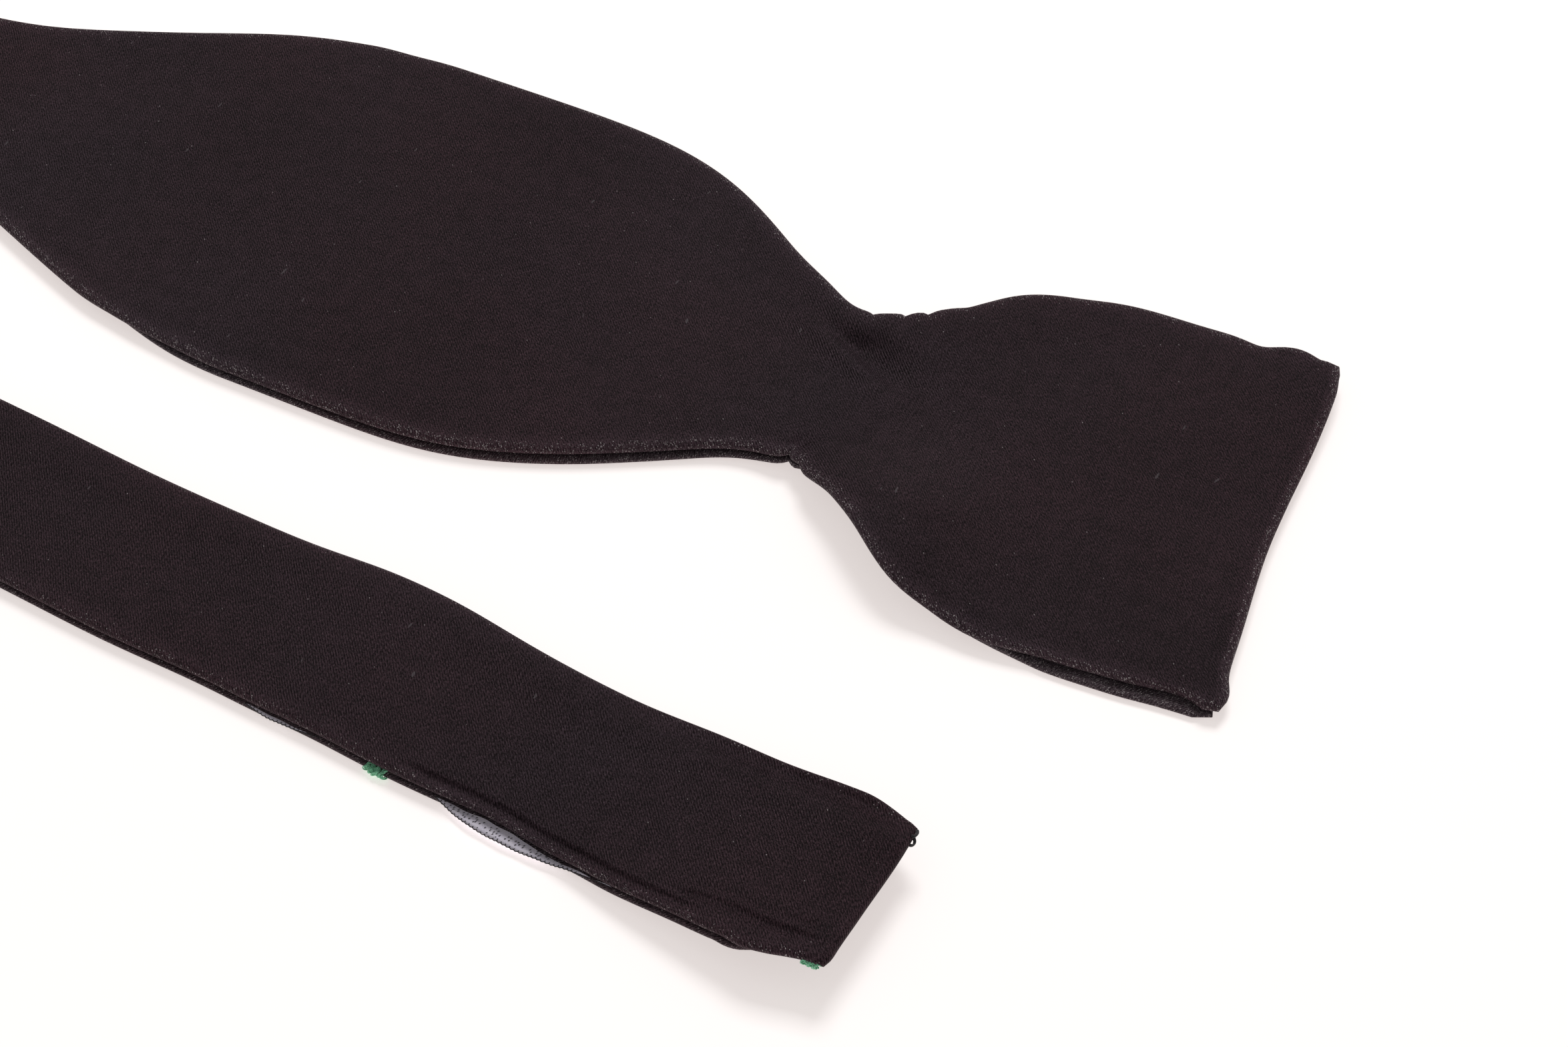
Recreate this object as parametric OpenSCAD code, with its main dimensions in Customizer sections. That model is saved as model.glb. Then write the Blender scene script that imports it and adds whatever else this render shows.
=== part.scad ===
// Bow tie: a single-ended self-tie bow tie, folded flat.
// One shaped blade and a plain square-ended band, turned back on a short
// cross strip by two diagonal folds. The cross strip lies on the table.
// The origin is the middle of the cross strip's underside. +X runs along
// the two legs towards their free ends, +Z is up, the table is z = 0.

/* [Band] */
// Width of the neck band in mm
band_w = 26; // [22:0.5:32]
// Distance between the two fold points in mm
fold_gap = 47.7; // [40:0.1:60]
// Angle each leg is splayed from the X axis in degrees
splay = 2.25; // [0:0.05:5]

/* [Blade] */
// Length from fold to the end of the flare in mm
blade_l = 395; // [340:1:480]
// Width of the flared end in mm
flare_w = 66; // [50:0.5:78]
// Length from the flared end to the waist in mm
flare_l = 65; // [50:0.5:78]
// Width of the waist in mm
waist_w = 30; // [24:0.5:38]
// Greatest width of the bulge in mm
bulge_w = 70; // [56:0.5:78]
// Distance from the waist to the widest part in mm
bulge_l = 63.5; // [50:0.5:76]
// Length over which the bulge narrows to the band in mm
taper_l = 81; // [60:0.5:95]
// Rounding of the flared end's corners in mm
corner_r = 2.5; // [1:0.1:6]
// Slant of the flared end's edge in degrees
end_slant = 6; // [0:0.5:10]

/* [Tail] */
// Length from fold to the square end in mm
tail_l = 373.2; // [320:0.1:450]
// Distance from the square end to the lift line in mm
lift_l = 68.5; // [66:0.5:90]
// Widest opening of the loose seam in mm
lip_w = 2.6; // [1:0.1:6]

/* [Layers] */
// Thickness of each satin panel in mm
satin_t = 0.4; // [0.3:0.05:0.8]
// Thickness of the pale fused backing in mm
fused_t = 0.3; // [0.2:0.05:0.5]
// Thickness of the canvas interlining in mm
canvas_t = 1.5; // [1:0.1:2.5]
// Length over which each leg comes down off the cross strip in mm
ramp_l = 32; // [24:1:48]

/* [Thread] */
// Thickness of the green tacking thread in mm
tack_d = 0.7; // [0.4:0.05:1.2]
// Number of strands in the long tack
tack_n = 5; // [3:1:8]
// Width of the overlock thread on the loose edge in mm
lock_w = 1; // [0.6:0.1:1.6]

/* [Hidden] */
total_t = satin_t + fused_t + canvas_t + satin_t;
gap = 0.3;
axis_z = total_t + gap / 2;
lift = total_t + gap;
fold_a = 45 + splay / 2;
// clear distance from each fold line to the cut edges
cut = 0.18;
// where the raised part of a leg ends, along the leg
ramp_u = band_w / 2 + 4;
flat_u = ramp_u + ramp_l;
waist_u = blade_l - flare_l;
wide_u = waist_u - bulge_l;
drop_u = wide_u - 13.5;
lift_u = tail_l - lift_l;
// wall of the front satin where it turns over the edge
wall = satin_t;
// the front satin's turned edge stops above the fused backing
turn_z = satin_t + fused_t;
core_in = wall + 0.1;
step = 3;
lip_from = 27;
lip_to = 59.5;
tail_lip_from = 70;
tail_lip_to = 85;
// the loose seam's seam allowance under the front panel
tuck = 2;
tack_u = 63.5;
e_num = 2.718281828;

function ease(x) = x <= 0 ? 0 : x >= 1 ? 1 : x * x * (3 - 2 * x);
function swell(x, a) = 1 - pow(e_num, -pow(x / a, 2));
// half the blade's width at u along the leg
function half_w(u) =
    u >= waist_u ? (waist_w + (flare_w - waist_w) * swell(u - waist_u, 0.29 * flare_l)) / 2
    : u >= drop_u ? (waist_w + (bulge_w - waist_w) * swell(waist_u - u, 0.395 * bulge_l)) / 2
    : (band_w + (half_w(drop_u) * 2 - band_w) * (1 - ease((drop_u - u) / taper_l))) / 2;
// stations between two places, both ends included
function stations(u0, u1) = let (n = max(1, round((u1 - u0) / step)))
    [for (i = [0 : n]) u0 + (u1 - u0) * i / n];
// the upper edge's points of the blade between two places
function edge_up(u0, u1, inset) = [for (u = stations(u0, u1)) [u, half_w(u) - inset]];
function mirror_back(pts) = [for (i = [len(pts) - 1 : -1 : 0]) [pts[i][0], -pts[i][1]]];
function corner(cu, cv, r) = [for (a = [75 : -15 : 15]) [cu + r * cos(a), cv + r * sin(a)]];

// the outline of the blade from the start of the taper to the waist
module blade_shape(inset) {
    pts = edge_up(drop_u - taper_l, waist_u - cut, inset);
    polygon(concat(pts, mirror_back(pts)));
}

// one side of the flared tip, from u_from round its corner
function tip_side(u_from, u_end, inset) = let (v_end = half_w(blade_l) - inset)
    concat(edge_up(u_from, u_end - corner_r, inset),
        corner(u_end - corner_r, v_end - corner_r, corner_r),
        [[u_end, v_end - corner_r]]);

// the outline of the flared tip, its end edge slanted
module tip_shape(u_from, inset) {
    reach = half_w(blade_l) * tan(end_slant);
    upper = tip_side(u_from, blade_l - reach - inset, inset);
    lower = tip_side(u_from, blade_l + reach - inset, inset);
    polygon(concat(upper, mirror_back(lower)));
}

// a straight length of band
module band_shape(u0, u1, inset) {
    translate([u0, -band_w / 2 + inset])
        square([u1 - u0, band_w - 2 * inset]);
}

// a layer of the leg's raised and sloping root, z0 to z1 above its own underside
module root_layer(z0, z1, inset, u_to) {
    rise = [[-40, lift + z0], [ramp_u, lift + z0], [flat_u, z0], [u_to, z0],
        [u_to, z1], [flat_u, z1], [ramp_u, lift + z1], [-40, lift + z1]];
    translate([0, band_w / 2 - inset, 0])
        rotate([90, 0, 0])
            linear_extrude(band_w - 2 * inset)
                polygon(rise);
}

// keeps only what lies on the leg's side of its fold line
module past_fold(side) {
    // the fold line in the leg's own frame
    a = side * (fold_a - splay);
    difference() {
        children();
        rotate([0, 0, a])
            translate([-150, side > 0 ? -cut : -150 + cut, -1])
                cube([300, 150, 30]);
    }
}

// places a leg: side 1 is the blade, side -1 the tail
module place(side) {
    translate([0, side * fold_gap / 2, 0])
        rotate([0, 0, side * splay])
            children();
}

// one layer of the blade leg
module blade_layer(z0, z1, inset) {
    past_fold(1)
        root_layer(z0, z1, inset, drop_u - taper_l);
    translate([0, 0, z0])
        linear_extrude(z1 - z0)
            blade_shape(inset);
}

module tip_layer(z0, z1, inset) {
    translate([0, 0, z0])
        linear_extrude(z1 - z0)
            tip_shape(waist_u + cut, inset);
}

// one layer of the tail leg
module tail_layer(z0, z1, inset) {
    past_fold(-1)
        root_layer(z0, z1, inset, lift_u - cut);
}

module end_layer(z0, z1, inset) {
    translate([0, 0, z0])
        linear_extrude(z1 - z0)
            band_shape(lift_u + cut, tail_l - inset, inset);
}

// one layer of the cross strip, between the two fold lines
module turn_layer(z0, z1, inset) {
    x = band_w / 2 - inset;
    rise = tan(fold_a);
    back = cut / cos(fold_a);
    yh = fold_gap / 2 - back;
    pts = [[-x, yh - x * rise], [x, yh + x * rise], [x, -yh - x * rise], [-x, -yh + x * rise]];
    translate([0, 0, z0])
        linear_extrude(z1 - z0)
            polygon(pts);
}

// how far the loose seam stands open at distance d from the square end
function lip(d, d0, d1, w) = d <= d0 || d >= d1 ? 0 : w * sin(180 * pow((d - d0) / (d1 - d0), 1.4));

// the seam allowance standing out under the front panel's edge
module lip_shape(d0, d1, w, out) {
    n = 16;
    outer = [for (i = [0 : n]) let (d = d0 + (d1 - d0) * i / n)
        [tail_l - d, -band_w / 2 - lip(d, d0, d1, w) - out]];
    polygon(concat(outer, [[tail_l - d1, -band_w / 2 + tuck], [tail_l - d0, -band_w / 2 + tuck]]));
}

module lip_layer(z0, z1, d0, d1, w, out) {
    translate([0, 0, z0])
        linear_extrude(z1 - z0)
            lip_shape(d0, d1, w, out);
}

// the band of overlock thread along the raw edge, clear of the cloth by a hair
module overlock(d0, d1, w) {
    n = 16;
    near = 0.03;
    outer = [for (i = [1 : n - 1]) let (d = d0 + (d1 - d0) * i / n)
        [tail_l - d, -band_w / 2 - lip(d, d0, d1, w) - lock_w]];
    inner = [for (i = [n - 1 : -1 : 1]) let (d = d0 + (d1 - d0) * i / n)
        [tail_l - d, -band_w / 2 - lip(d, d0, d1, w) - near]];
    linear_extrude(turn_z + satin_t)
        polygon(concat(outer, inner));
}

// the hollow under each front satin that the canvas fills
module turn_pocket() {
    turn_layer_open(satin_t, total_t - turn_z + 1, wall);
}

// the cross strip's hollow runs out past both fold lines
module turn_layer_open(z0, z1, inset) {
    translate([-band_w / 2 + inset, -60, z0])
        cube([band_w - 2 * inset, 120, z1 - z0]);
}

module blade_pocket() {
    root_layer(turn_z - 1, total_t - satin_t, wall, drop_u - taper_l + 0.01);
    translate([0, 0, turn_z - 1])
        linear_extrude(total_t - satin_t - turn_z + 1)
            polygon(concat(edge_up(drop_u - taper_l, waist_u, wall),
                mirror_back(edge_up(drop_u - taper_l, waist_u, wall))));
}

module tip_pocket() {
    translate([0, 0, turn_z - 1])
        linear_extrude(total_t - satin_t - turn_z + 1)
            tip_shape(waist_u, wall);
}

module tail_pocket() {
    root_layer(turn_z - 1, total_t - satin_t, wall, lift_u + 1);
}

module end_pocket() {
    translate([0, 0, turn_z - 1])
        linear_extrude(total_t - satin_t - turn_z + 1)
            band_shape(lift_u - 1, tail_l - wall, wall);
}

// one strand over the edge: up the side and along the top
module tack_strand(l) {
    translate([-tack_d / 2, -l, total_t])
        cube([tack_d * 0.94, l, tack_d * 0.6]);
    translate([-tack_d / 2, -l, 0])
        cube([tack_d * 0.94, l - 4.2 + (l < 5 ? 1.2 : 0) - 0.02, total_t]);
}

// front satin of the cross strip, its edges turned over the canvas
module turn_front_satin() {
    color([0.07, 0.06, 0.065])
        difference() {
            turn_layer(0, total_t - turn_z, 0);
            turn_pocket();
        }
}

// canvas interlining of the cross strip
module turn_canvas() {
    color([0.62, 0.59, 0.52])
        turn_layer(satin_t, total_t - turn_z, core_in);
}

// pale fused backing of the cross strip's back panel
module turn_fused_backing() {
    color([0.8, 0.78, 0.84])
        turn_layer(total_t - turn_z, total_t - satin_t, core_in);
}

// back satin of the cross strip
module turn_back_satin() {
    color([0.07, 0.06, 0.065])
        turn_layer(total_t - satin_t, total_t, 0);
}

// front satin of the blade and its leg, its edges turned over the canvas
module blade_front_satin() {
    color([0.07, 0.06, 0.065])
        place(1)
            difference() {
                blade_layer(turn_z, total_t, 0);
                blade_pocket();
            }
}

// canvas interlining of the blade and its leg
module blade_canvas() {
    color([0.62, 0.59, 0.52])
        place(1)
            blade_layer(turn_z, total_t - satin_t, core_in);
}

// pale fused backing of the blade and its leg's back panel
module blade_fused_backing() {
    color([0.8, 0.78, 0.84])
        place(1)
            blade_layer(satin_t, turn_z, core_in);
}

// back satin of the blade and its leg
module blade_back_satin() {
    color([0.07, 0.06, 0.065])
        place(1)
            blade_layer(0, satin_t, 0);
}

// front satin of the flared tip, its edges turned over the canvas
module tip_front_satin() {
    color([0.07, 0.06, 0.065])
        place(1)
            difference() {
                tip_layer(turn_z, total_t, 0);
                tip_pocket();
            }
}

// canvas interlining of the flared tip
module tip_canvas() {
    color([0.62, 0.59, 0.52])
        place(1)
            tip_layer(turn_z, total_t - satin_t, core_in);
}

// pale fused backing of the flared tip's back panel
module tip_fused_backing() {
    color([0.8, 0.78, 0.84])
        place(1)
            tip_layer(satin_t, turn_z, core_in);
}

// back satin of the flared tip
module tip_back_satin() {
    color([0.07, 0.06, 0.065])
        place(1)
            tip_layer(0, satin_t, 0);
}

// front satin of the tail leg, its edges turned over the canvas
module tail_front_satin() {
    color([0.07, 0.06, 0.065])
        place(-1)
            difference() {
                tail_layer(turn_z, total_t, 0);
                tail_pocket();
            }
}

// canvas interlining of the tail leg
module tail_canvas() {
    color([0.62, 0.59, 0.52])
        place(-1)
            tail_layer(turn_z, total_t - satin_t, core_in);
}

// pale fused backing of the tail leg's back panel
module tail_fused_backing() {
    color([0.8, 0.78, 0.84])
        place(-1)
            union() {
                tail_layer(satin_t, turn_z, core_in);
                lip_layer(satin_t, turn_z, tail_lip_from, tail_lip_to, lip_w / 4, -0.2);
            }
}

// back satin of the tail leg
module tail_back_satin() {
    color([0.07, 0.06, 0.065])
        place(-1)
            union() {
                tail_layer(0, satin_t, 0);
                lip_layer(0, satin_t, tail_lip_from, tail_lip_to, lip_w / 4, 0);
            }
}

// front satin of the square end, its edges turned over the canvas
module end_front_satin() {
    color([0.07, 0.06, 0.065])
        place(-1)
            difference() {
                end_layer(turn_z, total_t, 0);
                end_pocket();
            }
}

// canvas interlining of the square end
module end_canvas() {
    color([0.62, 0.59, 0.52])
        place(-1)
            end_layer(turn_z, total_t - satin_t, core_in);
}

// pale fused backing of the square end's back panel
module end_fused_backing() {
    color([0.8, 0.78, 0.84])
        place(-1)
            union() {
                end_layer(satin_t, turn_z, core_in);
                lip_layer(satin_t, turn_z, lip_from, lip_to, lip_w, -0.2);
            }
}

// back satin of the square end
module end_back_satin() {
    color([0.07, 0.06, 0.065])
        place(-1)
            union() {
                end_layer(0, satin_t, 0);
                lip_layer(0, satin_t, lip_from, lip_to, lip_w, 0);
            }
}

// overlock thread on the tail's raw edge where the seam gapes a little
module tail_overlock_edge() {
    color([0.07, 0.06, 0.065])
        place(-1)
            overlock(tail_lip_from, tail_lip_to, lip_w / 4);
}

// overlock thread on the raw edge of the open seam
module end_overlock_edge() {
    color([0.07, 0.06, 0.065])
        place(-1)
            overlock(lip_from, lip_to, lip_w);
}

// green tacking thread sewn over the edge near the lift line
module long_green_tack() {
    color([0.15, 0.5, 0.3])
        place(-1)
            for (i = [0 : tack_n - 1])
                translate([tail_l - tack_u + (i - (tack_n - 1) / 2) * tack_d, -band_w / 2 + 4.2, 0])
                    tack_strand(5.2);
}

// green tacking thread at the square end's lower corner
module corner_green_tack() {
    color([0.15, 0.5, 0.3])
        place(-1)
            for (i = [0 : 1])
                translate([tail_l - 2.6 + i * tack_d, -band_w / 2 + 3, 0])
                    tack_strand(4);
}

// curl of overlock thread at the square end's upper corner
module overlock_thread_loop() {
    color([0.07, 0.06, 0.065])
        place(-1)
            translate([tail_l + 1.28, band_w / 2 - 3, 0.4])
                rotate_extrude()
                    translate([1, 0])
                        circle(d = 0.5, $fn = 16);
}

turn_front_satin();
turn_canvas();
turn_fused_backing();
turn_back_satin();
blade_front_satin();
blade_canvas();
blade_fused_backing();
blade_back_satin();
tip_front_satin();
tip_canvas();
tip_fused_backing();
tip_back_satin();
tail_front_satin();
tail_canvas();
tail_fused_backing();
tail_back_satin();
end_front_satin();
end_canvas();
end_fused_backing();
end_back_satin();
tail_overlock_edge();
end_overlock_edge();
long_green_tack();
corner_green_tack();
overlock_thread_loop();
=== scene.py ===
# A black satin self-tie bow tie, folded flat on a pale table.
# Lengths are in millimetres until a mesh is made; meshes are in metres.
# A leg is one half of the strip. Its u runs along it from the fold, its v lies across it with
# the near side negative, and its heights are over its underside. The small numbers in the
# outline and crease tables were set against the photograph.
import math
import random

import bpy
import numpy as np
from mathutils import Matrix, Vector


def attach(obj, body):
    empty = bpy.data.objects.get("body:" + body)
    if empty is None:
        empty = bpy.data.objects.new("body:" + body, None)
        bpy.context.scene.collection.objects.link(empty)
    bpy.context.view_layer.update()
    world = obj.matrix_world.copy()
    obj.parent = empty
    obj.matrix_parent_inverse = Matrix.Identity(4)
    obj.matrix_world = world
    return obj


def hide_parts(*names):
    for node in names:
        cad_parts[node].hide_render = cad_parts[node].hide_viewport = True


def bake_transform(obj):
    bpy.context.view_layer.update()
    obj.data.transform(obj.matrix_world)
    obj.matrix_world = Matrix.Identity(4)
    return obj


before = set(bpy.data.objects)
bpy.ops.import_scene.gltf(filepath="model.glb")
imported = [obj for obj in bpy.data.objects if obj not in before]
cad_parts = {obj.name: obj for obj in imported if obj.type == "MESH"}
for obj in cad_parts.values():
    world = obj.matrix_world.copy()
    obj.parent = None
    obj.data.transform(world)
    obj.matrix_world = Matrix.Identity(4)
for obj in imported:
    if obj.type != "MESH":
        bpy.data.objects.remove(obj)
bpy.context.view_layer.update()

MM = 0.001
random.seed(7)

# sizes shared with the CAD model
SPLAY = math.radians(2.25)  # each leg's turn away from the middle line
FOLD_GAP = 47.7  # between the legs' middle lines, at the fold
BAND = 26.0
BLADE_L, FLARE_L, FLARE_W, END_SLANT = 395.0, 65.0, 66.0, math.radians(6.0)
WAIST_W, BULGE_W, BULGE_L, TAPER_L = 30.0, 70.0, 63.5, 81.0
TAIL_L, LIFT_L = 373.2, 68.5
THICK = 2.6  # of the whole stack of layers
GAP = 0.3  # between the legs and the cross strip under their roots
LIFT = THICK + GAP
AXIS_Z = THICK + GAP / 2  # height of the folds' axes
WAIST_U = BLADE_L - FLARE_L
WIDE_U = WAIST_U - BULGE_L
DROP_U = WIDE_U - 13.5  # where the bulge starts to taper to the band
FOLD_ANGLE = math.radians(45) + SPLAY / 2

# places along a leg
ROOT_U = 17.0  # where a leg's panels meet the fold's panels
RAMP_L = 32.0  # length over which a leg comes down from the cross strip to the table
END_ZONE = 40.0  # length over which a leg's rows turn to follow its end
ROOT_ZONE = 6.0  # the same past the root, for the inner layers' slanted starts

# inner layers: distance in from the edge, lower and upper height
CANVAS_LAYER = (2.3, 0.80, 2.15)
BACKING_LAYER = (2.2, 0.45, 0.72)

# ---------------------------------------------------------------- shape tools


def ease(x):
    """A smooth step from 0 to 1 as x goes from 0 to 1."""
    x = np.clip(x, 0, 1)
    return x * x * (3 - 2 * x)


def bump(x, centre, width):
    """A smooth swell of height 1."""
    return np.exp(-(((x - centre) / width) ** 2))


def swells(u, table):
    """The sum of a table's swells, each (centre, width, height)."""
    return sum(height * bump(u, centre, width) for centre, width, height in table)


def plateau(u, start, rise, stop, fall):
    """1 between start and stop, with a smooth rise after start and a smooth fall after stop."""
    return ease((u - start) / rise) * (1 - ease((u - stop) / fall))


def half_w(u):
    """Half the blade leg's width at u."""
    u = np.asarray(u, float)

    def widening(distance, reach, width):
        return WAIST_W + (width - WAIST_W) * (1 - np.exp(-((distance / reach) ** 2)))

    tip = widening(u - WAIST_U, 0.29 * FLARE_L, FLARE_W)
    body = widening(WAIST_U - u, 0.395 * BULGE_L, BULGE_W)
    at_drop = widening(WAIST_U - DROP_U, 0.395 * BULGE_L, BULGE_W)
    taper = BAND + (at_drop - BAND) * (1 - ease((DROP_U - u) / TAPER_L))
    return np.where(u >= WAIST_U, tip, np.where(u >= DROP_U, body, taper)) / 2


def ripple(a, b, seed, size):
    """Smooth seeded unevenness of about -1 to 1, of that typical size in mm."""
    rng = np.random.RandomState(seed)
    out = 0
    for _ in range(9):
        turn, phase = rng.uniform(0, math.tau), rng.uniform(0, math.tau)
        k = rng.uniform(0.6, 1.5) * math.tau / size
        out = out + np.sin(k * (a * math.cos(turn) + b * math.sin(turn)) + phase)
    return out / 4.5


def to_row(side, u, v, z):
    """Leg coordinates to the row frame in metres; side is 1 for the blade, -1 for the tail."""
    c, s = math.cos(SPLAY), side * math.sin(SPLAY)
    return np.stack([u * c - v * s, side * FOLD_GAP / 2 + u * s + v * c, z], -1) * MM


def on_ramp(u):
    """Height of a leg's underside over the table, from its root down to where it lies."""
    return LIFT * (1 - ease((u - ROOT_U) / RAMP_L))


def tucked(u):
    """1 where the front panel alone makes the blade's near edge and hides the back panel."""
    return plateau(u, 332.5, 3.5, 364, 12) + plateau(u, 150, 40, 228, 18)


class Blade:
    """The leg with the bulge, the waist and the flared end."""

    side = 1
    seed = 11
    highlight_share = 1.0  # how strongly painted highlights show on its edges
    square = 0.85  # how square its end corners are, from 0 to 1
    end_glint_cut = 0.0  # how much fewer painted glints its end has

    UPPER = (
        # the waist's gathers
        (330.4, 0.9, -0.45), (335.1, 0.8, -0.7), (338.0, 0.8, -0.75), (342.4, 1.2, -0.3),
        # the bulge
        (192, 9, -0.45), (226, 12, 0.85), (326.5, 4.5, -0.9),
        # the waist and the flare
        (334, 3, 0.35), (335, 8.5, -1.2), (338, 4, 0.6), (344, 2.5, -0.45), (347, 5.5, 1.45),
        (352, 4, 0.4), (352, 8, -0.35), (374, 14, -0.65), (384, 3.5, -0.9), (390, 3.5, 0.7),
        (392, 4, -0.35), (393, 2, -0.5))
    LOWER = (
        # the waist's tuck
        (331.0, 1.2, 1.3), (334.0, 0.8, 0.5),
        # the bulge
        (299, 13, 1.3),
        # the waist and the flare
        (330, 8, -0.65), (335, 10, -0.9), (337, 3, -0.55), (338, 4, 0.37), (344, 9, -0.6),
        (346, 3.5, 0.25), (353, 7, -0.8), (365, 7, -0.5), (386, 5, -0.4))
    # the waist's main crease: a point on it and its direction
    CREASE_U, CREASE_V = 325.1, 9.0
    CREASE_COS, CREASE_SIN = 0.893, 0.449
    # the gathers' creases: place at v 17, lean along v, depth
    GATHERS = ((330.4, -0.2, 0.25), (335.1, 0.1, 0.4), (338.0, 0.4, 0.4))

    @staticmethod
    def edges(u):
        """(lower, upper) lateral edge at u."""
        w = half_w(u)
        up = w + swells(u, Blade.UPPER) - 0.5 * plateau(u, 238, 8, 312, 10)
        low = -w + swells(u, Blade.LOWER) + 0.42 * plateau(u, 226, 8, 306, 12)
        low = low + 0.25 * np.sin(u / 17.0) * ease((u - 60) / 60)
        low = low + 0.7 * ease((u - 352) / 8) + 1.9 * ease((u - 374) / 16)
        return low - tucked(u) * np.where(u < 300, 1.1, 1.0), up

    @staticmethod
    def base(u, v):
        """Height of the underside over the table: the waist and the far corner stand off it."""
        near_lift = 4.7 * bump(u, 345, 12.5) * ease((5 - v) / 25)
        far_lift = 1.3 * bump(u, 334, 12) * ease((v - 1) / 13)
        corner_lift = 0.9 * bump(u, 388, 10) * ease((v - 12) / 20)
        return on_ramp(u) + near_lift + far_lift + corner_lift

    @staticmethod
    def relief(u, v):
        """Extra height of the front panel: gathers and creases at the waist."""
        du, dv = u - Blade.CREASE_U, v - Blade.CREASE_V
        along = du * Blade.CREASE_COS - dv * Blade.CREASE_SIN
        off = du * Blade.CREASE_SIN + dv * Blade.CREASE_COS
        # a valley, steeper on its near side, that fades out before the upper edge
        across = np.where(off < 1.1, (off - 1.1) / 1.6, (off - 1.1) / 3.3)
        clear = ease((Blade.edges(u)[1] - v - 1.8) / 4.5)
        z = -1.4 * clear * np.exp(-((along - 6.5) / 9.5) ** 2 - across ** 2)
        # the ridge beside it
        z = z + 0.75 * bump(along, 8, 9.5) * bump(off, -1.8, 1.5)
        for place, lean, depth in Blade.GATHERS:
            line = (u - place) - lean * (17 - v)
            z = z - depth * bump(line, 0, 0.9) * ease((v - 10) / 6)
        # the tuck at the near edge, and the swell of cloth beside it
        z = z - 0.9 * bump(u - 0.25 * (v + 15), 331.2, 1.3) * (1 - ease((v + 15) / 6))
        return z + 0.35 * bump(u, 327.0, 3.0) * bump(v, -12, 3.5)

    @staticmethod
    def painted_shade(u, v):
        """Painted shade: how much darker the cloth's colour is painted, over the bulge's middle and
        on the flare's near side.
        """
        return 0.12 * bump(u, 265, 40) + 0.38 * ease((u - 350) / 30) * ease((-v - 2) / 22)

    @staticmethod
    def end(v):
        """The end's place along u."""
        bow = 0.62 + 0.5 * np.sin(v / 9.0 + 0.6) + swells(v, ((-1, 13, -1.2), (17, 12, -0.28)))
        bow = bow + 1.25 * ease((v - 6) / 24) - 0.62 * ease((v - 27) / 5)
        bow = bow - 0.15 * ease((-v - 16) / 10)
        return BLADE_L - v * math.tan(END_SLANT) + bow


class Tail:
    """The plain leg with the loose square end."""

    side = -1
    seed = 23
    # how strongly painted highlights show on its edges, and how much fewer painted glints its end
    # has
    highlight_share = 0.66
    square = 0.9
    end_glint_cut = 0.55

    UPPER = (
        (258, 16, -0.5), (289, 13, -0.55), (298, 15, 1.5), (300, 7, -0.25), (333, 14, -0.5),
        (355, 8, -0.45), (357, 9, -0.3), (373, 3, 0.3))
    LOWER = (
        (283, 13, 0.9), (300, 9, 0.5), (331, 12, 0.55), (340, 5, 0.35), (363, 7, -0.45))
    # creases along the end's hem: v where u is 360, depth; below 0 it is a ridge, and straight
    HEM = ((-8.9, 0.3), (-10.5, 0.4), (-9.7, -0.3))

    @staticmethod
    def edges(u):
        """(lower, upper) lateral edge at u."""
        h = BAND / 2
        live = ease((u - 150) / 60)
        up = h + live * (0.32 + swells(u, Tail.UPPER))
        up = up - 0.4 * ease((u - 350) / 20) - 2.5 * ease((u - 366.5) / 10)
        low = 0.5 + 0.35 * np.sin(u / 12.0) + swells(u, Tail.LOWER)
        low = low - 0.9 * plateau(u, 326, 14, 360, 9) + 0.3 * ease((u - 367) / 8)
        return -h + live * low - 0.85 * plateau(u, 361, 4, 365.5, 7), up

    @staticmethod
    def base(u, v):
        """Height of the underside over the table: the end is lifted off it."""
        upper = np.clip(0.5 + v / BAND, 0, 1)
        end_lift = 3.9 * ease((u - 332) / 40) * (1.05 - 0.15 * upper)
        return on_ramp(u) + 1.0 * bump(u, 299, 15) * upper + end_lift

    @staticmethod
    def relief(u, v):
        """Extra height of the front panel: a soft ridge, the end's hem and the open seam."""
        z = 0.25 * bump(v, 9.5 + 1.2 * np.sin(u / 21), 2.2) * ease((u - 60) / 60)
        hem = plateau(u, 350, 8, 370, 4)
        for line, depth in Tail.HEM:
            waver = 0.25 * np.sin(u / 2.1) if depth > 0 else 0.0
            z = z - depth * hem * bump(v, line + 0.04 * (u - 360) + waver, 0.7)
        seam = plateau(u, TAIL_L - 62, 8, TAIL_L - 20, 8)
        z = z - 0.6 * seam * bump(v, Tail.edges(u)[0] + 1.6, 0.42)
        # the upper edge rolls down towards the end
        return z - 1.1 * ease((v - 7.5) / 4.5) * ease((u - 322) / 40)

    @staticmethod
    def painted_shade(u, v):
        """Painted shade: how much darker the cloth's colour is painted, the same over the whole
        tail.
        """
        return 0.15 + 0 * u

    @staticmethod
    def end(v):
        """The end's place along u."""
        return TAIL_L + 2.1 - 0.06 * v + 0.35 * np.sin(v / 5.0) - 0.3 * ease((-v - 4) / 8)


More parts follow.
